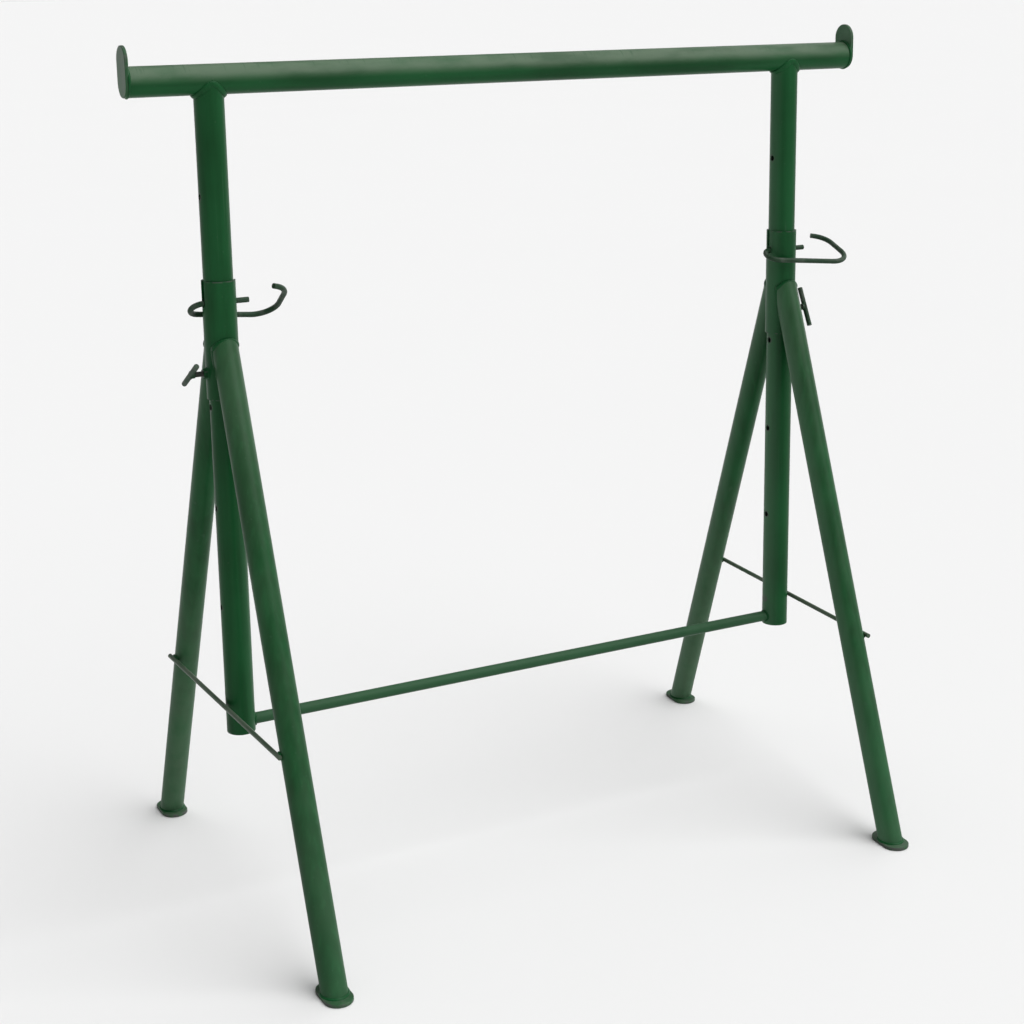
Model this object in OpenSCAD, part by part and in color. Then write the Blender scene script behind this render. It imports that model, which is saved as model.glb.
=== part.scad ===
// Builders trestle: a sliding upper frame on two A-shaped leg frames, held by bent-bar locking pins.
// Millimetres. +Z is up, z = 0 is the floor, +X runs along the crossbar and the front feet lie at -Y.

/* [Upper frame] */
// Outside diameter of the crossbar and of the uprights
tube_od = 42.4; // [34:0.1:60]
// Wall of the crossbar and of the uprights
tube_wall = 2.6; // [1.5:0.1:5]
// Distance between the axes of the two uprights
upright_spacing = 960; // [700:10:1400]
// Crossbar past each upright's axis, end stop included
crossbar_overhang = 120; // [60:5:250]
// Upright from the crossbar's axis to its lower end
upright_len = 956; // [880:1:1100]
// First cross hole below the crossbar's axis
hole_first = 160; // [100:5:180]
// Pitch of the cross holes
hole_pitch = 150; // [100:5:170]
// Cross holes in each upright
hole_count = 5; // [3:1:6]
// Hole that takes the pin, counted from the top
hole_pinned = 2; // [1:1:3]
// Thickness of an end stop
stop_t = 5; // [3:0.5:10]
// End stop above the top of the crossbar
stop_rise = 28; // [22:1:80]
// Outside diameter of the stretcher
stretcher_od = 17.2; // [12:0.1:26]
// Wall of the stretcher
stretcher_wall = 2; // [1:0.1:4]
// Stretcher's axis above the lower ends of the uprights
stretcher_rise = 14; // [13:1:60]

/* [Leg frames] */
// Wall of a sleeve
sleeve_wall = 2.6; // [2:0.1:5]
// Running clearance between a sleeve and its upright, on the radius
sleeve_clear = 0.35; // [0.3:0.05:1]
// Length of a sleeve
sleeve_len = 170; // [140:5:240]
// Sleeve's rim above the pin's axis
sleeve_rise = 32; // [12:1:40]
// Outside diameter of a leg
leg_od = 38; // [28:0.5:46]
// Wall of a leg
leg_wall = 2; // [1.5:0.1:4]
// Distance between the leg axes at the foot pads, front to rear
leg_spread = 670; // [560:5:900]
// Point where the leg axes meet, below the pin's axis
leg_apex_drop = 25; // [10:1:60]
// Top of the legs below the pin's axis
leg_top_drop = 50; // [35:1:80]
// Width of a foot pad
foot_w = 42; // [40:1:60]
// Length of a foot pad, front to rear
foot_len = 68; // [50:1:110]
// Thickness of a foot pad
foot_t = 5; // [3:0.5:10]
// Diameter of a brace rod
brace_d = 7; // [6:0.5:14]
// Height of the brace rods above the floor
brace_height = 310; // [150:5:500]
// Brace rod past the axis of one of its legs
brace_past = 15; // [5:1:60]
// Brace rod past the axis of its other leg
brace_short = 4; // [2:1:60]
// Clearance between a brace rod and the upright that it passes
brace_clear = 3; // [0.5:0.5:20]
// Degrees that each leg frame stands turned in on its upright, front feet nearer together
frame_turn = 2.4; // [0:0.1:6]

/* [Locking pins] */
// Height of the pin's axis above the floor
pin_height = 910; // [820:5:1000]
// Diameter of the bar that a pin is bent from
pin_d = 8; // [6:0.5:12]
// Clearance round the shank in its holes, on the radius
pin_clear = 0.6; // [0.4:0.1:0.9]
// Shank past the far side of the sleeve
pin_stub = 19; // [8:1:30]
// Angle of the left pin's bow below its shank, seen along the shank
left_pin_roll = 35.5; // [0:0.5:45]
// Angle of the right pin's bow below its shank
right_pin_roll = 21.5; // [0:0.5:45]
// Angle between the bow and the shank
pin_open = 12; // [0:0.5:14]
// Gap between the steeper bow and the sleeve it passes
bow_gap = 2.9; // [0.4:0.1:4]
// Room left between the left hook and its sleeve with the pin drawn
left_hook_slack = 1.2; // [1:0.1:20]
// Room left between the right hook and its sleeve with the pin drawn
right_hook_slack = 11.7; // [1:0.1:20]
// How much thicker the bar is in its bends
bend_swell = 0.2; // [0.1:0.1:1]
// Radius of the hook's two bends
hook_r = 30; // [26:1:34]
// Turn of the hook's second bend in degrees
hook_sweep = 64; // [50:1:70]
// Straight end of the hook
hook_tip = 7; // [4:1:12]
// Gap between the hook's end and the far side of the sleeve, seen along the shank
hook_gap = 1.4; // [1:0.1:4]

/* [Clamp screws] */
// Diameter of a clamp screw
screw_d = 8; // [6:1:14]
// Clearance of the screw in its nut and sleeve, and from the upright
screw_clear = 0.3; // [0.3:0.1:0.6]
// Screw's axis below the pin's axis
clamp_drop = 100; // [80:1:110]
// Width of the nut across its flats
nut_af = 13; // [12:1:24]
// Nut's outer face past the side of the sleeve
nut_stand = 6; // [4:1:14]
// Screw between the nut and the handle's head
screw_free = 12; // [8:1:40]
// Diameter of the handle's head
head_d = 10; // [9:1:24]
// Length of the handle's head, up to the cross bar's axis
head_len = 6; // [5:1:24]
// Diameter of the handle's cross bar
handle_d = 8; // [5:0.5:9]
// Length of the handle's cross bar
handle_len = 66; // [40:1:120]
// Left cross bar's angle to the level
left_handle_tilt = -32; // [-90:1:90]
// Right cross bar's angle to the level
right_handle_tilt = 62; // [-90:1:90]

/* [Hidden] */
$fn = 64;
frame_green = "#1f5a33";
dark_green = "#27402c";
// Bores run this far past the faces that they open
cut = 5;
upright_x = upright_spacing / 2;
crossbar_end = upright_x + crossbar_overhang;
crossbar_z = pin_height + hole_first + (hole_pinned - 1) * hole_pitch;
upright_end_z = crossbar_z - upright_len;
stretcher_z = upright_end_z + stretcher_rise;
hole_d = pin_d + 2 * pin_clear;
sleeve_id = tube_od + 2 * sleeve_clear;
sleeve_od = sleeve_id + 2 * sleeve_wall;
sleeve_top = pin_height + sleeve_rise;
// The slots let the sleeve turn on its upright with the pin in
slot_w = hole_d + bend_swell + sleeve_od * sin(frame_turn);
leg_apex_z = pin_height - leg_apex_drop;
leg_top_z = pin_height - leg_top_drop;
// The top of a leg is rounded to an arch a little wider than the leg
leg_arch_r = leg_od / 2 + leg_wall;
leg_arch_z = leg_top_z - leg_arch_r;
leg_rise = leg_apex_z - foot_t;
// The legs lean outward just far enough for their brace rod to pass the upright
brace_share = (leg_apex_z - brace_height) / leg_rise;
leg_splay = (tube_od / 2 + brace_clear - leg_od / 2) / brace_share;
leg_lean = atan2(leg_splay, leg_rise);
leg_axis_len = norm([leg_splay, leg_spread / 2, leg_rise]);
leg_tilt = asin(leg_spread / 2 / leg_axis_len);
brace_leg_y = brace_share * leg_spread / 2;
// The rod touches both legs where they reach its height
brace_x = brace_share * leg_splay + (leg_od + brace_d) / 2 / cos(leg_lean);
// The bow lies far enough down its roll to pass beside the sleeve
bow_y = sleeve_od / 2 + bow_gap + pin_d / 2;
bow_roll = max(left_pin_roll, right_pin_roll);
bow_slope = tan(pin_open) * cos(bow_roll);
bow_offset = bow_y * sqrt(1 + bow_slope * bow_slope) / cos(bow_roll);
turn_x = tube_od / 2;
turn_r = (bow_offset - turn_x * tan(pin_open)) / (1 + 1 / cos(pin_open));
shank_end = sleeve_od / 2 + pin_stub;
// The pin's straight stretches run this far into its bends
bend_lap = 1;
// The drawn pin just leaves the upright
pin_travel = shank_end + tube_od / 2 + pin_clear;
// The hook starts here on a pin whose slack is nothing, and its end goes past the sleeve's far side
hook_x = pin_travel + sleeve_od / 2 + pin_d / 2 - hook_r * (1 + sin(pin_open));
hook_start = bow_offset + (hook_x + min(left_hook_slack, right_hook_slack)) * tan(pin_open);
hook_end = (sleeve_od / 2 + hook_gap + pin_d / 2) / cos(bow_roll);
hook_across = hook_start + hook_end - hook_r * (cos(pin_open) + sin(hook_sweep)) - hook_tip * cos(hook_sweep);
clamp_z = pin_height - clamp_drop;
nut_face = sleeve_od / 2 + nut_stand;
screw_tip = tube_od / 2 + screw_clear;
screw_end = nut_face + screw_free;
screw_hole_d = screw_d + 2 * screw_clear;
head_start = screw_end + screw_clear;

// A round bar along +X
module bar_x(d, len) {
    rotate([0, 90, 0])
        cylinder(d = d, h = len);
}

// A tube along +Z
module tube_z(od, wall, len) {
    difference() {
        cylinder(d = od, h = len);
        translate([0, 0, -cut])
            cylinder(d = od - 2 * wall, h = len + 2 * cut);
    }
}

// A flat plate with two round ends, long along Y and lying on z = 0
module round_plate(w, len, t) {
    linear_extrude(t)
        union() {
            square([w, len - w], center = true);
            for (end = [-1, 1])
                translate([0, end * (len - w) / 2])
                    circle(d = w);
        }
}

// The crossbar's tube, between the end stops
module crossbar() {
    tube_len = 2 * (crossbar_end - stop_t);
    color(frame_green)
        translate([-tube_len / 2, 0, crossbar_z])
            rotate([0, 90, 0])
                tube_z(tube_od, tube_wall, tube_len);
}

// An end stop, flush with the crossbar's underside; side is -1 on the left and 1 on the right
module end_stop(side) {
    stop_len = tube_od + stop_rise;
    color(frame_green)
        translate([side * (crossbar_end - stop_t / 2) - stop_t / 2, 0, crossbar_z + stop_rise / 2])
            rotate([90, 0, 90])
                round_plate(tube_od, stop_len, stop_t);
}

// An upright, saddle-cut to the crossbar and cross-drilled for the pins
module upright(side) {
    color(frame_green)
        translate([side * upright_x, 0, 0])
            difference() {
                translate([0, 0, upright_end_z])
                    tube_z(tube_od, tube_wall, upright_len);
                translate([-tube_od, 0, crossbar_z])
                    bar_x(tube_od, 2 * tube_od);
                for (i = [0 : hole_count - 1])
                    translate([-tube_od, 0, crossbar_z - hole_first - i * hole_pitch])
                        bar_x(hole_d, 2 * tube_od);
            }
}

// The stretcher, saddle-cut to both uprights
module stretcher() {
    color(frame_green)
        difference() {
            translate([-upright_x, 0, stretcher_z])
                rotate([0, 90, 0])
                    tube_z(stretcher_od, stretcher_wall, upright_spacing);
            for (side = [-1, 1])
                translate([side * upright_x, 0, upright_end_z - stretcher_od])
                    cylinder(d = tube_od, h = stretcher_rise + 3 * stretcher_od);
        }
}

// Puts what is built round the Z axis on its upright, with the leg frame's turn
module at_frame(side) {
    translate([side * upright_x, 0, 0])
        rotate([0, 0, -side * frame_turn])
            children();
}

// A sleeve, with a slot down from its rim on each side for the pin and a hole for the clamp screw
module sleeve(side) {
    color(frame_green)
        at_frame(side)
            difference() {
                translate([0, 0, sleeve_top - sleeve_len])
                    tube_z(sleeve_od, sleeve_wall, sleeve_len);
                translate([-sleeve_od, 0, pin_height])
                    bar_x(slot_w, 2 * sleeve_od);
                translate([-sleeve_od, -slot_w / 2, pin_height])
                    cube([2 * sleeve_od, slot_w, sleeve_rise + cut]);
                translate([0, 0, clamp_z])
                    rotate([0, 0, side < 0 ? 180 : 0])
                        bar_x(screw_hole_d, sleeve_od);
            }
}

// What a leg is trimmed to: level on its foot pad, and an arch over the top
module leg_trim() {
    trim_w = 2 * (leg_od + leg_splay);
    translate([0, leg_spread, 0])
        rotate([90, 0, 0])
            linear_extrude(2 * leg_spread)
                union() {
                    translate([-trim_w / 2, foot_t])
                        square([trim_w, leg_arch_z - foot_t]);
                    translate([0, leg_arch_z])
                        circle(r = leg_arch_r);
                }
}

// A leg, saddle-cut to its sleeve and level with the top of its foot pad; way is -1 in front, 1 behind
module leg(side, way) {
    color(frame_green)
        at_frame(side)
            difference() {
                intersection() {
                    translate([side * leg_splay, way * leg_spread / 2, foot_t])
                        rotate([way * leg_tilt, -side * leg_lean, 0])
                            translate([0, 0, -leg_od])
                                tube_z(leg_od, leg_wall, leg_axis_len + 2 * leg_od);
                    leg_trim();
                }
                cylinder(d = sleeve_od, h = 2 * pin_height);
            }
}

// A foot pad under a leg
module foot(side, way) {
    color(dark_green)
        at_frame(side)
            translate([side * leg_splay, way * leg_spread / 2, 0])
                round_plate(foot_w, foot_len, foot_t);
}

// A brace rod across the outer side of a leg frame, that ends at one leg and runs on past the other
module brace_rod(side) {
    rod_start = brace_leg_y + brace_short;
    color(frame_green)
        at_frame(side)
            translate([side * brace_x, side * rod_start, brace_height])
                rotate([side * 90, 0, 0])
                    cylinder(d = brace_d, h = rod_start + brace_leg_y + brace_past);
}

// Turns what is built along +X to the outer side of a sleeve, at the clamp's height
module at_clamp(side) {
    at_frame(side)
        translate([0, 0, clamp_z])
            rotate([0, 0, side < 0 ? 180 : 0])
                children();
}

// A nut welded on the sleeve
module clamp_nut(side) {
    color(frame_green)
        difference() {
            at_clamp(side)
                rotate([0, 90, 0])
                    cylinder(d = nut_af / cos(30), h = nut_face, $fn = 6);
            at_clamp(side)
                bar_x(screw_hole_d, nut_face + cut);
            at_frame(side)
                translate([0, 0, clamp_z - nut_af])
                    cylinder(d = sleeve_od, h = 2 * nut_af);
        }
}

// A clamp screw, its tip just off the upright
module clamp_screw(side) {
    color(dark_green)
        at_clamp(side)
            translate([screw_tip, 0, 0])
                bar_x(screw_d, screw_end - screw_tip);
}

// A clamp handle: a short head with a bar welded across its end
module clamp_handle(side, tilt) {
    color(dark_green)
        at_clamp(side)
            translate([head_start, 0, 0])
                union() {
                    bar_x(head_d, head_len);
                    translate([head_len, 0, 0])
                        rotate([side * tilt - 90, 0, 0])
                            cylinder(d = handle_d, h = handle_len, center = true);
                }
}

// A bend of the pin's bar about the Z axis, from one angle through a sweep
module pin_bend(radius, from, sweep) {
    rotate([0, 0, from])
        rotate_extrude(angle = sweep)
            translate([radius, 0])
                circle(d = pin_d + bend_swell);
}

// A straight bar that leads on along -Y from the end of a bend about the Z axis
module pin_straight(radius, len) {
    translate([radius, bend_lap, 0])
        rotate([90, 0, 0])
            cylinder(d = pin_d, h = len);
}

// The bow of a pin along +X and the hook at its end: a bend, a stretch square to the shank, a bend and a tip
module pin_bow(slack) {
    bow_len = (hook_x + slack + turn_x + turn_r * sin(pin_open)) / cos(pin_open);
    union() {
        translate([-bend_lap, 0, 0])
            bar_x(pin_d, bow_len + 2 * bend_lap);
        translate([bow_len, -hook_r, 0])
            union() {
                pin_bend(hook_r, 90, -90 - pin_open);
                rotate([0, 0, -pin_open])
                    union() {
                        pin_straight(hook_r, hook_across + 2 * bend_lap);
                        translate([0, -hook_across, 0])
                            union() {
                                pin_bend(hook_r, 0, -hook_sweep);
                                rotate([0, 0, -hook_sweep])
                                    pin_straight(hook_r, bend_lap + hook_tip);
                            }
                    }
            }
    }
}

// A locking pin: shank, turn, bow and hook, bent in one plane that is rolled about the shank
module locking_pin(side, roll, slack) {
    color(dark_green)
        translate([side * upright_x, 0, pin_height])
            rotate([roll, 0, 0])
                union() {
                    translate([-turn_x - bend_lap, 0, 0])
                        bar_x(pin_d, turn_x + bend_lap + shank_end);
                    translate([-turn_x, turn_r, 0])
                        pin_bend(turn_r, 90 + pin_open, 180 - pin_open);
                    translate([-turn_x - turn_r * sin(pin_open), turn_r * (1 + cos(pin_open)), 0])
                        rotate([0, 0, pin_open])
                            pin_bow(slack);
                }
}

crossbar();
end_stop(-1);  // left_end_stop
end_stop(1);  // right_end_stop
upright(-1);  // left_upright
upright(1);  // right_upright
stretcher();
sleeve(-1);  // left_sleeve
sleeve(1);  // right_sleeve
leg(-1, -1);  // left_front_leg
leg(-1, 1);  // left_rear_leg
leg(1, -1);  // right_front_leg
leg(1, 1);  // right_rear_leg
foot(-1, -1);  // left_front_foot
foot(-1, 1);  // left_rear_foot
foot(1, -1);  // right_front_foot
foot(1, 1);  // right_rear_foot
brace_rod(-1);  // left_brace_rod
brace_rod(1);  // right_brace_rod
clamp_nut(-1);  // left_clamp_nut
clamp_nut(1);  // right_clamp_nut
locking_pin(-1, -left_pin_roll, left_hook_slack);  // left_locking_pin
locking_pin(1, 180 + right_pin_roll, right_hook_slack);  // right_locking_pin
clamp_screw(-1);  // left_clamp_screw
clamp_screw(1);  // right_clamp_screw
clamp_handle(-1, left_handle_tilt);  // left_clamp_handle
clamp_handle(1, right_handle_tilt);  // right_clamp_handle
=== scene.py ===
import bpy
import numpy as np
from mathutils import Matrix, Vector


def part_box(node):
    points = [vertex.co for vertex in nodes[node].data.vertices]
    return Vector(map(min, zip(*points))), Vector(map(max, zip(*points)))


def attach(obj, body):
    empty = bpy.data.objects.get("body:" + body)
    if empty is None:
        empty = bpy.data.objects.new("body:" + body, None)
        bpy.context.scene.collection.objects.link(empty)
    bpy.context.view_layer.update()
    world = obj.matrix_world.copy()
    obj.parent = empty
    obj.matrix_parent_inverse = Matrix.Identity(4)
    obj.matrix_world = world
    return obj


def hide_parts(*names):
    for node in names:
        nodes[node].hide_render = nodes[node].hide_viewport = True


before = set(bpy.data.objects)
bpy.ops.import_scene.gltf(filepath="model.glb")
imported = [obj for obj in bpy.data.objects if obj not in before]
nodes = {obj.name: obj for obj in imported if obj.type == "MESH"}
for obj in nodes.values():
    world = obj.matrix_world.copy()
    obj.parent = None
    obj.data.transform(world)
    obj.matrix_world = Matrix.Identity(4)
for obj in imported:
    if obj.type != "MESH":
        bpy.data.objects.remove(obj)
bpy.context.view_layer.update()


# Crossbar: the steel tube that the boards lie on, dipped in dark green enamel with the rest of its frame.
# Boards dragged over it have rubbed the enamel dull along the top, where a painted highlight is laid too,
# and left short scuffs across it.
class Wire:
    """One output of a material's nodes, so that an expression on it adds the Math nodes that work it out."""

    def __init__(self, socket):
        self.socket = socket

    def node(self, kind, settings, sockets, out=0):
        """Adds a node: its settings first, then its sockets, each a number, a colour or a wire."""
        tree = self.socket.id_data
        made = tree.nodes.new(kind)
        for key, value in settings.items():
            setattr(made, key, value)
        for key, value in sockets.items():
            if isinstance(value, Wire):
                tree.links.new(value.socket, made.inputs[key])
            else:
                made.inputs[key].default_value = value
        return Wire(made.outputs[out])

    def math(self, operation, first, second):
        """One of the Math node's operations on two values."""
        return self.node("ShaderNodeMath", {"operation": operation}, {0: first, 1: second})

    def __add__(self, other):
        return self.math("ADD", self, other)

    def __sub__(self, other):
        return self.math("SUBTRACT", self, other)

    def __rsub__(self, other):
        return self.math("SUBTRACT", other, self)

    def __mul__(self, other):
        return self.math("MULTIPLY", self, other)

    def __truediv__(self, other):
        return self.math("DIVIDE", self, other)

    def __pow__(self, other):
        return self.math("POWER", self, other)

    __radd__ = __add__
    __rmul__ = __mul__

    def axis(self, number):
        """The x, y or z of a place."""
        return self.node("ShaderNodeSeparateXYZ", {}, {0: self}, number)

    def stretch(self, x, y, z):
        """A place with each axis multiplied by its own number."""
        return self.node("ShaderNodeVectorMath", {"operation": "MULTIPLY"}, {0: self, 1: (x, y, z)})

    def noise(self, scale, detail=2.0):
        """Smooth noise at a place, about 0.5 in the middle, with scale waves to a metre."""
        return self.node("ShaderNodeTexNoise", {}, {"Vector": self, "Scale": scale, "Detail": detail})

    def dots(self, scale):
        """The distance from the nearest of scattered points, in parts of the space between them."""
        return self.node("ShaderNodeTexVoronoi", {}, {"Vector": self, "Scale": scale})

    def step(self, low, high):
        """Rises smoothly from 0 where this value is low to 1 where it is high."""
        values = {0: self, 1: low, 2: high, 3: 0.0, 4: 1.0}
        return self.node("ShaderNodeMapRange", {"interpolation_type": "SMOOTHSTEP"}, values)

    def blend(self, low, high):
        """The colour low where this value is 0, and high where it is 1."""
        return self.node("ShaderNodeMix", {"data_type": "RGBA"}, {0: self, 6: low, 7: high}, 2)


def start(name):
    """A new material and its Object coordinates, in metres."""
    material = bpy.data.materials.new(name)
    material.use_nodes = True
    spot = material.node_tree.nodes.new("ShaderNodeTexCoord")
    return material, Wire(spot.outputs["Object"])


deep_green = (0.0028, 0.0430, 0.0105, 1.0)
fresh_green = (0.0066, 0.0710, 0.0200, 1.0)
dull_green = (0.0300, 0.0800, 0.0400, 1.0)
pale_green = (0.1200, 0.1680, 0.1150, 1.0)


def enamel(place, run):
    """Colour, roughness and height of dipped enamel: clouds a hand wide, runs drawn out along the piece by
    the stretch run, a fine peel, and grains of dust caught in it."""
    cloud = place.noise(6.0, 3.0)
    drawn = place.stretch(*run).noise(1.0, 3.0)
    peel = place.noise(330.0, 1.0)
    dust = place.dots(95.0).step(0.16, 0.07) * place.noise(17.0).step(0.50, 0.60)
    shade = (cloud * 0.55 + drawn * 0.45).step(0.34, 0.66)
    colour = (dust * 0.35).blend(shade.blend(deep_green, fresh_green), dull_green)
    rough = drawn * 0.16 + peel * 0.08 + 0.24
    height = drawn * 0.55 + peel * 0.10 + dust * 0.35
    return colour, rough, height


def lay(material, colour, rough, height, metal=0.0, gloss=1.21, depth=0.0003):
    """Joins a finish to the material's shader: gloss is its refractive index, depth the height's range."""
    tree = material.node_tree
    shader = tree.nodes["Principled BSDF"]
    shader.inputs["IOR"].default_value = gloss
    relief = {"Strength": 0.6, "Distance": depth, "Height": height}
    finish = {"Base Color": colour, "Roughness": rough, "Metallic": metal}
    finish["Normal"] = height.node("ShaderNodeBump", {}, relief)
    for key, value in finish.items():
        if isinstance(value, Wire):
            tree.links.new(value.socket, shader.inputs[key])
        else:
            shader.inputs[key].default_value = value


def dress(material, *names):
    """Puts a material in the slots of the named solids."""
    for name in names:
        nodes[name].data.materials.clear()
        nodes[name].data.materials.append(material)


def span(name, axis):
    """The middle of a solid's box along an axis, and half its length there."""
    low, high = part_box(name)
    return (low[axis] + high[axis]) / 2, (high[axis] - low[axis]) / 2


bar_middle, bar_half = span("crossbar", 0)
bar_level, bar_radius = span("crossbar", 2)

bar_coat, place = start("crossbar_enamel")
colour, rough, height = enamel(place, (4.0, 70.0, 70.0))
top = (place.axis(2) - bar_level) / bar_radius
uneven = place.stretch(16.0, 45.0, 45.0).noise(1.0, 4.0).step(0.25, 0.65)
# Pale along the top: partly enamel rubbed dull by the boards, partly a painted highlight.
rubbed_and_highlight = top.step(-0.26, 0.52) * (uneven * 0.5 + 0.5)
scuffs = place.stretch(340.0, 14.0, 14.0).noise(1.0, 2.0).step(0.61, 0.68) * top.step(0.40, 0.85)
colour = (scuffs * 0.5).blend((rubbed_and_highlight * 0.67 + 0.015).blend(colour, pale_green), dull_green)
lay(bar_coat, colour, rough + rubbed_and_highlight * 0.12, height - scuffs * 0.3)
dress(bar_coat, "crossbar")


# End stops: flat steel plates with round ends, as wide as the crossbar and welded over its open ends.
# They stand up past the crossbar to keep the boards on it. Their sheared edges are eased and rubbed on top,
# and their inner faces are painted paler in patches as painted light.
sides = {"left": -1, "right": 1}
stop_ease, stop_chipped, stop_painted_light_from, stop_painted_light_full = 0.0009, 0.045, 0.002, 0.0003
worn_steel = (0.0700, 0.0740, 0.0680, 1.0)
painted_light_green = (0.1000, 0.2000, 0.1200, 1.0)


def stadium(radius, straight, count=96):
    """A plate's outline: half circles of that radius, parted by straight sides of that length along the
    second axis. Each point is the circle's, moved half the straight length up or down by the sign of its
    sine."""
    turn = 2 * np.pi * (np.arange(count) + 0.5) / count
    along = radius * np.sin(turn) + straight / 2 * np.sign(np.sin(turn))
    return np.stack([radius * np.cos(turn), along], -1)


def plate(radius, straight, thick, ease, border=0.001, steps=6):
    """Outlines from a plate's lower face to its upper face, their levels, and how far each is round the
    eased edge. The edge is two quarter circles, and on each face one outline further in by the border keeps
    the face flat."""
    quarter = np.linspace(0, np.pi / 2, steps)
    turn = np.concatenate([quarter - np.pi / 2, quarter])
    level = np.repeat([ease, thick - ease], steps) + ease * np.sin(turn)
    inset = ease * (1 - np.cos(turn))
    level = np.concatenate([[0], level, [thick]])
    inset = np.concatenate([[ease + border], inset, [ease + border]])
    rim = np.concatenate([[0], np.cos(turn), [0]])
    return np.stack([stadium(radius - each, straight) for each in inset]), level, rim


def skin(name, grids, loop=False, rim=None):
    """A closed mesh over grids of points, each a row of rings. Quads join neighbours in a ring to the next
    ring. A looped row joins its last ring to its first, and any other is closed by a fan to each end ring's
    middle."""
    points, faces, marks, base = [], [], [], 0
    for rings in grids:
        count, around = rings.shape[:2]
        index = base + np.arange(count * around).reshape(count, around)
        here = index if loop else index[:-1]
        there = np.roll(index, -1, 0) if loop else index[1:]
        quads = np.stack([here, np.roll(here, -1, 1), np.roll(there, -1, 1), there], -1)
        faces += quads.reshape(-1, 4).tolist()
        points.append(rings.reshape(-1, 3))
        marks.append(np.repeat(np.zeros(count) if rim is None else rim, around))
        base += count * around
        if not loop:
            tips = np.full(around, base)
            faces += np.stack([tips, np.roll(index[0], -1), index[0]], -1).tolist()
            faces += np.stack([tips + 1, index[-1], np.roll(index[-1], -1)], -1).tolist()
            points.append(rings[[0, -1]].mean(1))
            marks.append(np.zeros(2))
            base += 2
    mesh = bpy.data.meshes.new(name)
    mesh.from_pydata(np.concatenate(points).tolist(), [], faces)
    edges = mesh.attributes.new("rim", "FLOAT", "POINT")
    edges.data.foreach_set("value", np.concatenate(marks).astype(np.float32))
    mesh.shade_smooth()
    piece = bpy.data.objects.new(name, mesh)
    bpy.context.scene.collection.objects.link(piece)
    return piece


def join(piece, material, body):
    """Gives a new piece its finish, and the body that it moves with."""
    piece.data.materials.append(material)
    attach(piece, body)


def eased_edge(place):
    """How far a place is round a plate's eased edge: 0 on the faces and 1 on the flat of the edge."""
    return place.node("ShaderNodeAttribute", {"attribute_name": "rim"}, {}, 2)


def off_middle(place):
    """How far a place is from the trestle's middle, along the crossbar."""
    return place.math("ABSOLUTE", place.axis(0), 0.0)


stop_coat, place = start("end_stop_enamel")
colour, rough, height = enamel(place, (60.0, 60.0, 9.0))
edge = eased_edge(place)
standing = place.axis(2).step(bar_level, bar_level + stop_chipped)
chips = edge * place.noise(120.0, 4.0).step(0.46, 0.58) * standing
colour = (edge * 0.35).blend((place.noise(40.0, 4.0) * 0.24).blend(colour, pale_green), dull_green)
# Painted light: the plates' inner faces are made paler, in patches.
faces_in = off_middle(place).step(bar_half + stop_painted_light_from, bar_half + stop_painted_light_full)
painted_light_inner = faces_in * (place.noise(70.0, 4.0).step(0.25, 0.65) * 0.5 + 0.5)
colour = (painted_light_inner * 0.42).blend(colour, painted_light_green)
lay(stop_coat, (chips * 0.8).blend(colour, worn_steel), rough + chips * 0.1, height - chips * 0.4)

for side in sides:
    low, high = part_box(side + "_end_stop")
    straight = high[2] - low[2] - 2 * bar_radius
    outlines, level, rim = plate(bar_radius, straight, high[0] - low[0], stop_ease)
    rings = np.empty(outlines.shape[:2] + (3,))
    rings[..., 0] = low[0] + level[:, None]
    rings[..., 1] = outlines[..., 0]
    rings[..., 2] = (low[2] + high[2]) / 2 + outlines[..., 1]
    stop = skin(side + "_stop_plate", [rings], rim=rim)
    join(stop, stop_coat, "upper_frame")
    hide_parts(side + "_end_stop")


# End stop welds: one run of arc weld round each end of the crossbar, under the same enamel.
# The run is fullest in the corner above the tube and thin where the plate is flush with the tube.
stop_weld, stop_weld_swell, stop_weld_lean = 0.0021, 0.0007, 0.7
ripple_pitch, ripple_depth, ripple_mean, ripple_draw = 0.0024, 0.11, 0.6, 0.9
swell_depth, swell_waves, blunt_end, seam_steps = 0.06, 3, 0.02, 240


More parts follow.
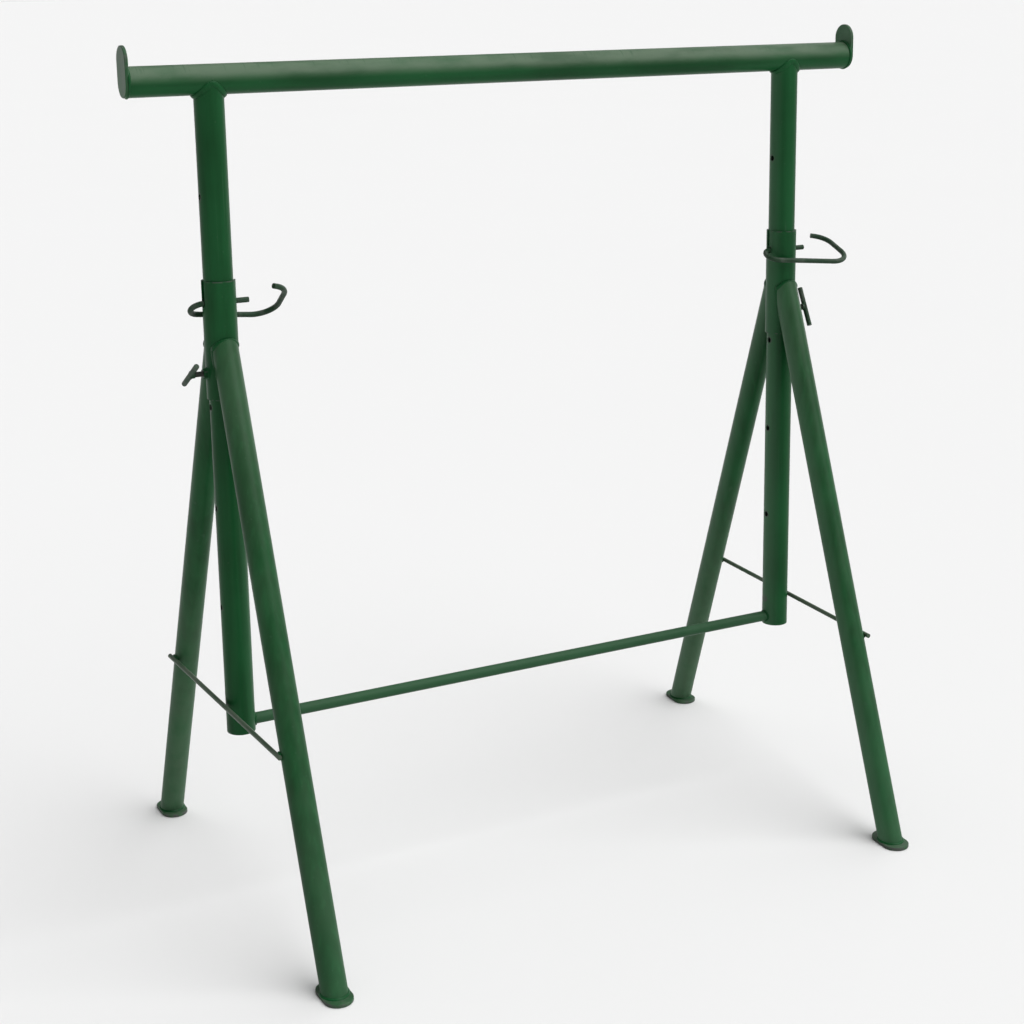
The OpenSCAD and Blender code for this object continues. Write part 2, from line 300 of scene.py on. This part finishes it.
def bead(path, out, radius, loop=True, wide=None, lift=0.0, around=16, rings=5):
    """Rings of a weld run along a seam, so many to a ripple. At the length s the ring is a circle in the
    plane across the path, or where wide is given an ellipse that half width across, raised by lift to lie
    between the two faces it joins, its inner half reaching back into the seam. Its size is multiplied by one
    plus the ripples' depth times (|sin| less its mean), the ripples being drawn back at the sides, and by a
    slow swell. An open run is rounded off at both ends."""
    section = [radius, radius if wide is None else wide, lift]
    columns = [np.broadcast_to(each, len(path))[:, None] for each in section]
    track = np.concatenate([path, out] + columns, 1)
    if loop:
        track = np.concatenate([track, track[:1]])
    run = np.concatenate([[0], np.cumsum(np.linalg.norm(np.diff(track[:, :3], axis=0), axis=1))])
    ripples = max(3, round(run[-1] / ripple_pitch))
    s = np.linspace(0, run[-1], ripples * rings + 1)
    track = np.stack([np.interp(s, run, column) for column in track.T], -1)
    along = np.gradient(track[:, :3], axis=0)
    if loop:
        along[[0, -1]] = along[0] + along[-1]
        s, track, along = s[:-1], track[:-1], along[:-1]
    along /= np.linalg.norm(along, axis=1, keepdims=True)
    outward = track[:, 3:6] - along * (track[:, 3:6] * along).sum(1, keepdims=True)
    outward /= np.linalg.norm(outward, axis=1, keepdims=True)
    across = np.cross(along, outward)
    high, broad, raised = track[:, 6:7], track[:, 7:8], track[:, 8:9]
    turn = 2 * np.pi * np.arange(around) / around
    phase = np.pi * ripples * s[:, None] / run[-1] + ripple_draw * np.cos(turn)
    swell = 1 + ripple_depth * (np.abs(np.sin(phase)) - ripple_mean)
    swell *= 1 + swell_depth * np.sin(2 * swell_waves * np.pi * s / run[-1] + 1)[:, None]
    if not loop:
        near = np.clip(np.minimum(s, run[-1] - s)[:, None] / broad, blunt_end, 1)
        swell *= np.sqrt(near * (2 - near))
    rise = raised + swell * np.cos(turn) * np.where(np.cos(turn) > 0, high, high + raised)
    aside = swell * np.sin(turn) * broad
    return track[:, None, :3] + rise[..., None] * outward[:, None] + aside[..., None] * across[:, None]


weld_coat, place = start("weld_enamel")
colour, rough, height = enamel(place, (40.0, 40.0, 40.0))
scale = place.noise(620.0, 3.0)
colour = (scale.step(0.55, 0.75) * 0.30).blend(colour, dull_green)
lay(weld_coat, colour, rough - 0.05 + scale * 0.10, height + scale * 0.45)

round_turn = np.linspace(0, 2 * np.pi, seam_steps, endpoint=False)
cosine, sine = np.cos(round_turn), np.sin(round_turn)
flat = np.zeros_like(cosine)

# The seam is the crossbar's circle on the plate's inner face.
for side, way in sides.items():
    bar_end = bar_middle + way * bar_half
    seam = np.stack([flat + bar_end, bar_radius * cosine, bar_level + bar_radius * sine], -1)
    out = np.stack([flat - way * stop_weld_lean, cosine, sine], -1)
    run = bead(seam, out, stop_weld + stop_weld_swell * sine)
    weld = skin(side + "_stop_weld", [run], loop=True)
    join(weld, weld_coat, "upper_frame")


# Uprights: tubes of the same size, cut to a saddle under the crossbar and welded all round, drilled across
# at one pitch for the pins. Sliding in the sleeves has scored them lengthways. Their inner sides, facing the
# trestle's middle, are painted paler as painted light, more so low down, as on the sleeves and legs.
upright_x, upright_radius = span("right_upright", 0)
hole_first, hole_last, hole_pitch, hole_radius = 0.46, 1.06, 0.15, 0.0046
ring_worn, ring_bare = hole_radius + 0.0032, hole_radius + 0.0002
rings_none, rings_full = hole_last + 0.05, hole_last + 0.04
saddle_leg, saddle_dip, saddle_sink, saddle_square = 0.0045, 0.006, 0.0006, 0.7
saddle_weld, saddle_weld_swell = 0.0010, 0.0008


def past(place):
    """How far a place is past the axis of its upright, measured out from the trestle's middle."""
    return off_middle(place) - upright_x


upright_coat, place = start("upright_enamel")
colour, rough, height = enamel(place, (70.0, 70.0, 4.0))
tall = place.axis(2)
inner = past(place) / -upright_radius
# Painted light: the inner sides, facing the trestle's middle, are made paler, and more so low down.
painted_light = inner.step(0.55, 1.08) * 0.26 + inner.step(0.0, 0.9) * tall.step(0.90, 0.55) * 0.14
colour = painted_light.blend(colour, painted_light_green)
scored = place.stretch(420.0, 420.0, 3.0).noise(1.0, 2.0).step(0.60, 0.70)
scored = scored * tall.step(0.40, 0.60) * place.noise(14.0, 2.0).step(0.42, 0.62)
pitches = (tall - hole_first) / hole_pitch + 0.5
wrapped = place.math("FRACT", pitches, 0.0)
from_hole = (((wrapped - 0.5) * hole_pitch) ** 2.0 + place.axis(1) ** 2.0) ** 0.5
ring = from_hole.step(ring_worn, ring_bare) * place.noise(210.0, 3.0).step(0.36, 0.56)
ring = ring * tall.step(rings_none, rings_full)
colour = (ring * 0.75).blend((scored * 0.45).blend(colour, dull_green), worn_steel)
lay(upright_coat, colour, rough + scored * 0.08, height - scored * 0.25 - ring * 0.3)
dress(upright_coat, "left_upright", "right_upright")

# The seam of two equal tubes lies |cos| radii below the crossbar's axis, and is rounded at the sides so
# that it stays the dip below it. The weld is raised to fill the corner between the tubes.
for side, way in sides.items():
    ring_x, ring_y = upright_radius * cosine, upright_radius * sine
    below = np.hypot(ring_x, saddle_dip)
    seam = np.stack([way * upright_x + ring_x, ring_y, bar_level - below], -1)
    out = np.stack([cosine, sine + seam[:, 1] / bar_radius, (seam[:, 2] - bar_level) / bar_radius], -1)
    square = np.clip(np.linalg.norm(out, axis=1) / 2, saddle_square, 1)
    wide, lift = saddle_leg * square, saddle_leg * np.sqrt(1 - square ** 2) - saddle_sink
    run = bead(seam, out, saddle_weld + saddle_weld_swell * sine ** 2, wide=wide, lift=lift)
    weld = skin(side + "_saddle_weld", [run], loop=True)
    join(weld, weld_coat, "upper_frame")


# Stretcher: a thin tube between the lower ends of the uprights that keeps them parallel.
# It is cut to fit the tubes' sides and welded round both ends.
stretcher_level, stretcher_radius = span("stretcher", 2)
stretcher_weld, stretcher_weld_lean = 0.0021, 0.8

stretcher_coat, place = start("stretcher_enamel")
colour, rough, height = enamel(place, (5.0, 90.0, 90.0))
upper = ((place.axis(2) - stretcher_level) / stretcher_radius).step(-1.2, 0.9)
settled = upper * (place.noise(45.0, 4.0).step(0.30, 0.62) * 0.5 + 0.5)
colour = (settled * 0.05).blend((settled * 0.15 + 0.5).blend(colour, dull_green), pale_green)
lay(stretcher_coat, colour, rough + settled * 0.15, height)
dress(stretcher_coat, "stretcher")

# The seam is the stretcher's circle, laid on the upright's round side.
for side, way in sides.items():
    y = stretcher_radius * cosine
    x = way * (upright_x - np.sqrt(upright_radius ** 2 - y ** 2))
    seam = np.stack([x, y, stretcher_level + stretcher_radius * sine], -1)
    out = np.stack([flat - way * stretcher_weld_lean, cosine, sine], -1)
    weld = skin(side + "_stretcher_weld", [bead(seam, out, stretcher_weld)], loop=True)
    join(weld, weld_coat, "upper_frame")


# Sleeves: short lengths of the next larger tube that slide on the uprights, slotted from the rim for the
# pins. Weld spatter has stuck to them, and the enamel is rubbed through on their rims.
sleeve_low, sleeve_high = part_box("left_sleeve")
sleeve_radius, frame_turn = 0.02415, np.radians(2.4)
rim_worn, rim_bare = 0.0025, 0.0003


def turned(points, way):
    """Points laid out round an upright's axis, turned in about it with their leg frame and moved out to the
    upright. Way is -1 on the left, where the frame turns anticlockwise seen from above, and 1 on the
    right."""
    swing = -way * frame_turn
    x = way * upright_x + points[..., 0] * np.cos(swing) - points[..., 1] * np.sin(swing)
    y = points[..., 0] * np.sin(swing) + points[..., 1] * np.cos(swing)
    return np.stack([x, y, points[..., 2]], -1)


sleeve_coat, place = start("sleeve_enamel")
colour, rough, height = enamel(place, (60.0, 60.0, 7.0))
tall = place.axis(2)
# Painted light: the sleeves' inner sides, facing the trestle's middle, are made paler.
colour = ((past(place) / -sleeve_radius).step(0.50, 1.08) * 0.28).blend(colour, painted_light_green)
spatter = place.dots(130.0).step(0.30, 0.12) * place.noise(24.0, 2.0).step(0.54, 0.62)
rims = tall.step(sleeve_high[2] - rim_worn, sleeve_high[2] - rim_bare)
rims = rims + tall.step(sleeve_low[2] + rim_worn, sleeve_low[2] + rim_bare)
rims = rims * place.noise(150.0, 4.0).step(0.42, 0.58)
colour = (rims * 0.6).blend((spatter * 0.4).blend(colour, dull_green), worn_steel)
lay(sleeve_coat, colour, rough + rims * 0.08, height + spatter * 0.9 - rims * 0.3)
dress(sleeve_coat, "left_sleeve", "right_sleeve")


# Legs: four steel tubes cut to fit the sleeves' sides, each leaning out from the trestle to its own foot.
# Each is welded to its sleeve in an arch over the top. The enamel has run down them and dulls near the
# floor. Their inner sides and lower ends are painted paler as painted light, and the rear pair as a painted
# highlight.
ends = {"front": -1, "rear": 1}
leg_radius, leg_reach, leg_splay = 0.019, 0.335, 0.007958
apex_level, pad_level, arch_top, arch_radius = 0.885, 0.005, 0.860, 0.021
leg_fall = apex_level - pad_level
leg_weld, leg_weld_wide, leg_weld_lift = 0.0007, 0.0030, 0.0006
leg_weld_turn, leg_weld_steps = 2.62, 400

leg_coat, place = start("leg_enamel")
colour, rough, height = enamel(place, (75.0, 75.0, 3.5))
tall = place.axis(2)
runs = place.stretch(150.0, 150.0, 7.0).noise(1.0, 2.0).step(0.57, 0.70)
soiled = tall.step(0.50, 0.05) * (place.noise(55.0, 4.0).step(0.30, 0.64) * 0.4 + 0.6)
knocks = place.noise(46.0, 5.0).step(0.685, 0.72)
rear = place.axis(1).step(0.0, 0.08)
upper = tall.step(0.35, 0.62)
lean = (apex_level - tall) * (leg_splay / leg_fall) + place.axis(1) * np.tan(frame_turn)
# Painted light: the inner sides, facing the trestle's middle, and the lowest part of each leg are made
# paler.
painted_light = ((lean - past(place)) / leg_radius).step(0.50, 1.08) * 0.28 + tall.step(0.32, 0.04) * 0.10
# Dust in random patches, and a painted highlight that makes the rear legs paler, most of all near the floor;
# the front legs are also a little paler towards the top.
dust_and_highlight = place.stretch(30.0, 30.0, 6.0).noise(1.0, 4.0).step(0.20, 0.64) * 0.09 + 0.03
dust_and_highlight = dust_and_highlight * (rear * (0.4 - upper * 1.1) + 1.0) + soiled * rear * 0.20
dust_and_highlight = dust_and_highlight + (1.0 - rear) * tall.step(0.60, 0.78) * 0.10
colour = dust_and_highlight.blend((runs * 0.3).blend(colour, fresh_green), pale_green)
colour = painted_light.blend(colour, painted_light_green)
colour = (knocks * 0.4).blend(colour, dull_green)
lay(leg_coat, colour, rough + soiled * 0.12, height + runs * 0.5 - knocks * 0.4)


def leg_seam(way, fore):
    """The seam of a leg on its sleeve, the way out of it, and the width of the ledge there. Each line along
    the leg's tube starts where it comes out of the sleeve, or further down where the arch cuts it. The seam
    lies halfway between that edge and the sleeve's side straight across from it."""
    fall = np.array([way * leg_splay, fore * leg_reach, -leg_fall])
    fall /= np.linalg.norm(fall)
    level = np.cross(fall, [0, 0, 1.0])
    level /= np.linalg.norm(level)
    ridge = np.cross(level, fall)
    turn = np.linspace(-leg_weld_turn, leg_weld_turn, leg_weld_steps)[:, None]
    face = np.cos(turn) * ridge + np.sin(turn) * level
    shell = leg_radius * face
    lean = shell[:, :2] @ fall[:2]
    spread = fall[:2] @ fall[:2]
    reach = (shell[:, :2] ** 2).sum(1) - sleeve_radius ** 2
    meet = (np.sqrt(lean ** 2 - spread * reach) - lean) / spread
    arch = arch_top - arch_radius + np.sqrt(arch_radius ** 2 - (shell[:, 0] + meet * fall[0]) ** 2)
    cut = (arch - apex_level - shell[:, 2]) / fall[2]
    edge = shell + np.maximum(meet, cut)[:, None] * fall
    wall = edge.copy()
    wall[:, 1] = fore * np.sqrt(sleeve_radius ** 2 - edge[:, 0] ** 2)
    ledge = np.abs(edge[:, 1] - wall[:, 1])
    seam = (edge + wall) / 2
    seam[:, 2] += apex_level - ledge / 4
    return seam, face + wall * [1, 1, 0] / sleeve_radius, ledge


for side, way in sides.items():
    for end, fore in ends.items():
        dress(leg_coat, f"{side}_{end}_leg")
        seam, out, ledge = leg_seam(way, fore)
        wide = leg_weld_wide + ledge / 8
        run = bead(seam, out, leg_weld + ledge / 4, loop=False, wide=wide, lift=leg_weld_lift)
        weld = skin(f"{side}_{end}_leg_weld", [turned(run, way)])
        join(weld, weld_coat, side + "_leg_frame")


# Foot pads: flat steel pads with round ends under the legs, welded on all round.
# Their edges and tops are scraped to dark steel by hard floors, and hold some dust.
pad_radius, pad_straight, pad_ease = 0.021, 0.026, 0.0008
pad_weld, pad_weld_wide, pad_weld_lift, pad_weld_lean = 0.0007, 0.0020, 0.0013, 0.8
leg_oval = leg_radius * np.hypot(leg_reach, leg_fall) / leg_fall

pad_coat, place = start("foot_pad_enamel")
colour, rough, height = enamel(place, (60.0, 60.0, 60.0))
scraped = (eased_edge(place) * 0.8 + 0.35) * place.noise(85.0, 5.0).step(0.38, 0.60)
dusty = place.noise(38.0, 4.0).step(0.40, 0.66)
colour = (scraped * 0.8).blend((dusty * 0.25 + 0.18).blend(colour, pale_green), worn_steel)
lay(pad_coat, colour, rough + dusty * 0.18 + scraped * 0.08, height - scraped * 0.5)

# The seam of each weld is the oval that the leg's tube makes on the level pad.
for side, way in sides.items():
    for end, fore in ends.items():
        centre = np.array([way * leg_splay, fore * leg_reach])
        outlines, level, rim = plate(pad_radius, pad_straight, pad_level, pad_ease)
        rings = np.empty(outlines.shape[:2] + (3,))
        rings[..., :2] = outlines + centre
        rings[..., 2] = level[:, None]
        pad = skin(f"{side}_{end}_pad", [turned(rings, way)], rim=rim)
        join(pad, pad_coat, side + "_leg_frame")
        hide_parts(f"{side}_{end}_foot")
        seam = [centre[0] + leg_radius * cosine, centre[1] + leg_oval * sine, flat + pad_level]
        out = np.stack([cosine, sine, flat + pad_weld_lean], -1)
        run = bead(np.stack(seam, -1), out, pad_weld, wide=pad_weld_wide, lift=pad_weld_lift)
        weld = skin(f"{side}_{end}_pad_weld", [turned(run, way)], loop=True)
        join(weld, weld_coat, side + "_leg_frame")


# Brace rods: one round bar across the outer side of each pair of legs, standing proud of one leg.
# Each is tacked to the legs with a short weld above and one below, shorter at the leg where it ends.
# The enamel is thin on them and has gone grey.
rod_out, rod_level, rod_radius = 0.0277, 0.310, 0.0035
tack_half, tack_short, tack_radius, tack_steps = 0.0085, 0.003, 0.0021, 40
tack_up, tack_proud, tack_lean = 0.8 * rod_radius, 0.0010, 0.6
leg_slope = leg_reach / leg_fall
grey_green = (0.0760, 0.1000, 0.0720, 1.0)

rod_coat, place = start("brace_rod_enamel")
colour, rough, height = enamel(place, (90.0, 14.0, 90.0))
upper = ((place.axis(2) - rod_level) / rod_radius).step(-0.2, 0.9)
settled = upper * place.noise(60.0, 4.0).step(0.30, 0.60)
thin = place.stretch(60.0, 25.0, 60.0).noise(1.0, 4.0).step(0.25, 0.60) * 0.35 + settled * 0.1 + 0.5
lay(rod_coat, thin.blend(colour, grey_green), rough + settled * 0.12, height)
dress(rod_coat, "left_brace_rod", "right_brace_rod")

# Each tack runs along the rod in the corner between it and the leg's round side.
for side, way in sides.items():
    for end, fore in ends.items():
        tacks = []
        for over in (-1, 1):
            tack_level = rod_level + over * tack_up
            off = fore * np.linspace(-tack_half, tack_short if fore == way else tack_half, tack_steps)
            hollow = leg_radius - np.sqrt(leg_radius ** 2 - off ** 2 / (1 + leg_slope ** 2))
            x = way * (rod_out - rod_radius + tack_proud - hollow)
            y = fore * leg_slope * (apex_level - tack_level) + off
            seam = np.stack([x, y, np.full(tack_steps, tack_level)], -1)
            out = np.tile([way * tack_lean, 0, over], (tack_steps, 1))
            tacks.append(turned(bead(seam, out, tack_radius, loop=False), way))
        weld = skin(f"{side}_{end}_brace_weld", tacks)
        join(weld, weld_coat, side + "_leg_frame")


# Clamp nuts: plain hex nuts hollowed to the sleeves' sides and welded on, to take the clamp screws.
# Their enamel is dark with thread oil, and is chipped on the six edges.
clamp_level = span("left_clamp_nut", 2)[0]
nut_half, nut_corner, nut_weld = 0.0065, np.pi / 6, 0.0017
chip_inner, chip_outer = 0.0068, 0.0074
oily_green = (0.0030, 0.0120, 0.0045, 1.0)


def off_axis(place):
    """How far a place is from the axis of its clamp screw, which turns in with the leg frame."""
    sideways = place.axis(1) + past(place) * np.tan(frame_turn)
    return (sideways ** 2.0 + (place.axis(2) - clamp_level) ** 2.0) ** 0.5


nut_coat, place = start("clamp_nut_enamel")
colour, rough, height = enamel(place, (60.0, 60.0, 60.0))
chips = off_axis(place).step(chip_inner, chip_outer) * place.noise(260.0, 4.0).step(0.40, 0.56)
colour = (place.noise(180.0, 3.0) * 0.9).blend(colour, oily_green)
lay(nut_coat, (chips * 0.5).blend(colour, worn_steel), rough + chips * 0.08, height - chips * 0.4)
dress(nut_coat, "left_clamp_nut", "right_clamp_nut")

# The seam is the nut's hexagon, laid on the sleeve's round side.
for side, way in sides.items():
    across = nut_half / np.cos((round_turn + nut_corner) % (2 * nut_corner) - nut_corner)
    y = across * cosine
    seam = np.stack([way * np.sqrt(sleeve_radius ** 2 - y ** 2), y, clamp_level + across * sine], -1)
    out = np.stack([flat + way, cosine, sine], -1)
    weld = skin(side + "_nut_weld", [turned(bead(seam, out, nut_weld), way)], loop=True)
    join(weld, weld_coat, side + "_leg_frame")


# Clamp screws: steel screws with a coarse thread that bear on the uprights through the nuts.
# They are bare and oiled, black in the thread and a little brighter on the crests.
screw_pitch, screw_radius, screw_tip, screw_end = 0.00125, 0.004, 0.0215, 0.04215
thread_depth, thread_land, screw_bevel = 0.0008, 0.15, 0.0011
crest_inner, crest_outer = 0.0034, 0.0039
screw_rings, screw_around = 220, 48
oil_black = (0.018, 0.021, 0.017, 1.0)
crest_steel = (0.120, 0.125, 0.112, 1.0)

screw_steel, place = start("oiled_thread_steel")
crest = off_axis(place).step(crest_inner, crest_outer)
oil = place.noise(300.0, 4.0)
colour = (crest * 0.7 + oil * 0.3).blend(oil_black, crest_steel)
lay(screw_steel, colour, 0.52 - crest * 0.18 + oil * 0.12, oil * 0.5, metal=0.9, gloss=1.5)


def thread(way):
    """Rings of a screw along its axis. The thread is cut by a triangle wave of the length in pitches less
    the turn, with flat crests and roots, and both ends of the screw are bevelled."""
    out = np.linspace(screw_tip, screw_end, screw_rings)[:, None]
    turn = 2 * np.pi * np.arange(screw_around) / screw_around
    wave = np.abs(2 * ((out / screw_pitch - turn / (2 * np.pi)) % 1) - 1)
    cutting = screw_radius - thread_depth * np.clip(wave * (1 + 2 * thread_land) - thread_land, 0, 1)
    lead_in = screw_radius - screw_bevel + np.minimum(out - screw_tip, screw_end - out)
    size = np.minimum(cutting, lead_in)
    rings = [way * out + 0 * size, size * np.cos(turn), clamp_level + way * size * np.sin(turn)]
    return np.stack(rings, -1)


for side, way in sides.items():
    screw = skin(side + "_screw_thread", [turned(thread(way), way)])
    join(screw, screw_steel, side + "_screw")
    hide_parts(side + "_clamp_screw")


# Clamp handles: a short turned head on the screw's outer end with a round bar welded across it.
# The thin enamel is worn through to dark steel where hands and hammers have met the bar.
handle_bar, handle_head, handle_out = 0.004, 0.005, 0.04845
handle_tilt = {"left": np.radians(-32), "right": np.radians(62)}
handle_weld, handle_weld_lean = 0.0011, 0.5
dark_bar = (0.0180, 0.0430, 0.0225, 1.0)
bare_bar = (0.0700, 0.0830, 0.0690, 1.0)

handle_coat, place = start("clamp_handle_enamel")
patch = place.noise(75.0, 4.0)
grit = place.noise(420.0, 2.0)
worn = patch.step(0.50, 0.64) * 0.6 + grit.step(0.60, 0.72) * 0.3
rough = patch * 0.2 + grit * 0.1 + 0.27
lay(handle_coat, worn.blend(dark_bar, bare_bar), rough, grit * 0.3 - worn * 0.3)
dress(handle_coat, "left_clamp_handle", "right_clamp_handle")

# The seam is the head's circle, laid on the bar's round side.
for side, way in sides.items():
    tilt = handle_tilt[side]
    bar_way = np.array([0, np.cos(tilt), np.sin(tilt)])
    bar_side = np.array([0, -np.sin(tilt), np.cos(tilt)])
    spoke = cosine[:, None] * bar_way + sine[:, None] * bar_side
    under = handle_out - np.sqrt(np.maximum(handle_bar ** 2 - (handle_head * sine) ** 2, 0))
    seam = handle_head * spoke + [0, 0, clamp_level]
    seam[:, 0] = way * under
    run = bead(seam, spoke + [way * handle_weld_lean, 0, 0], handle_weld)
    weld = skin(side + "_handle_weld", [turned(run, way)], loop=True)
    join(weld, handle_coat, side + "_handle")


# Locking pins: one round bar each, bent cold into a shank, a turn, a bow and a hook round the sleeve.
# They go through sleeve and upright. Their thin enamel is worn in patches, and in streaks along the shank.
pin_coat, place = start("locking_pin_enamel")
patch = place.noise(60.0, 4.0)
grit = place.noise(380.0, 2.0)
drag = place.stretch(12.0, 260.0, 260.0).noise(1.0, 2.0).step(0.55, 0.68)
worn = patch.step(0.48, 0.66) * 0.5 + drag * 0.3 + grit.step(0.60, 0.72) * 0.2
rough = patch * 0.2 + grit * 0.1 + 0.26
lay(pin_coat, worn.blend(dark_bar, bare_bar), rough, grit * 0.3 + patch * 0.3 - drag * 0.2)
dress(pin_coat, "left_locking_pin", "right_locking_pin")


# Floor: a wide pale studio floor that the trestle stands on, matt so that nothing shows in it.
# It runs out past the view on all sides, so that no edge shows. Its rings lie closer towards the middle.
floor_reach, floor_first, floor_under, floor_drop = 300.0, 0.01, 0.05, 0.0003
floor_rings, floor_around = 60, 96
floor_dark = (0.714, 0.714, 0.714, 1.0)
floor_light = (0.720, 0.720, 0.720, 1.0)

floor_pale, place = start("pale_floor")
tone = place.noise(0.7, 2.0).blend(floor_dark, floor_light)
lay(floor_pale, tone, 0.95, place.noise(900.0, 1.0), gloss=1.0, depth=0.00002)

outward = floor_reach * np.linspace(floor_first, 1, floor_rings) ** 3
reach = np.concatenate([outward, outward[::-1]])[:, None]
sink = np.repeat([-floor_under, -floor_drop], floor_rings)[:, None]
turn = 2 * np.pi * np.arange(floor_around) / floor_around
floor = skin("floor", [np.stack([reach * np.cos(turn), reach * np.sin(turn), sink + 0 * turn], -1)])
floor.data.materials.append(floor_pale)


# Studio light: an even pale room, a wide soft key light from the front right, and weaker ones overhead and
# from the right. All three are far off, so the floor is lit evenly.
wall_glow = (0.905, 0.905, 0.905, 1.0)
ceiling_glow = (0.16, 0.16, 0.16, 1.0)

room = bpy.data.worlds.new("studio_room")
room.use_nodes = True
bpy.context.scene.world = room
sky = Wire(room.node_tree.nodes.new("ShaderNodeTexCoord").outputs["Generated"])
air = sky.axis(2).step(0.02, 0.30).blend(wall_glow, ceiling_glow)
room.node_tree.links.new(air.socket, room.node_tree.nodes["Background"].inputs["Color"])


def facing(right, upward, back):
    """The turn that has these three as its x, y and z axes."""
    return Matrix(np.stack([right, upward, back], -1).tolist()).to_4x4()


def lamp(name, source, strength, width):
    """A far-off soft light that shines from source towards the trestle, width degrees across."""
    data = bpy.data.lights.new(name, "SUN")
    data.energy = strength
    data.angle = np.radians(width)
    back = np.array(source, float) / np.linalg.norm(source)
    right = np.cross([0, 1.0, 0.001], back)
    right /= np.linalg.norm(right)
    piece = bpy.data.objects.new(name, data)
    piece.matrix_world = facing(right, np.cross(back, right), back)
    bpy.context.scene.collection.objects.link(piece)


lamp("key_light", (0.42, -0.55, 0.80), 2.8, 60.0)
lamp("overhead_light", (0.10, 0.20, 1.0), 1.0, 50.0)
lamp("right_light", (0.90, 0.35, 0.40), 0.9, 60.0)
bpy.context.scene.view_settings.view_transform = "Standard"


# Camera: at standing eye height off the left front corner, looking a little down at the trestle.
# Its place and turn were fitted to the trestle's own edges, for a square picture. The picture's side, the
# focal length and the row that the lens looks at are in pixels.
picture, focal_length, middle_row = 1024, 1810.82, 400
eye = (-1.24995, -2.43747, 1.34076)
yaw, pitch, roll = 0.4674, 0.2256, -0.0155
sensor, farthest = 36.0, 2000.0

forward = np.array([np.sin(yaw) * np.cos(pitch), np.cos(yaw) * np.cos(pitch), -np.sin(pitch)])
level = np.array([np.cos(yaw), -np.sin(yaw), 0])
upward = np.cross(level, forward)
right = np.cos(roll) * level + np.sin(roll) * upward
upward = np.cos(roll) * upward - np.sin(roll) * level
camera = bpy.data.objects.new("camera", bpy.data.cameras.new("camera"))
camera.data.sensor_width = sensor
camera.data.lens = sensor * focal_length / picture
camera.data.shift_y = (middle_row - picture / 2) / picture
camera.data.clip_end = farthest
camera.matrix_world = Matrix.Translation(eye) @ facing(right, upward, -forward)
bpy.context.scene.collection.objects.link(camera)
bpy.context.scene.camera = camera
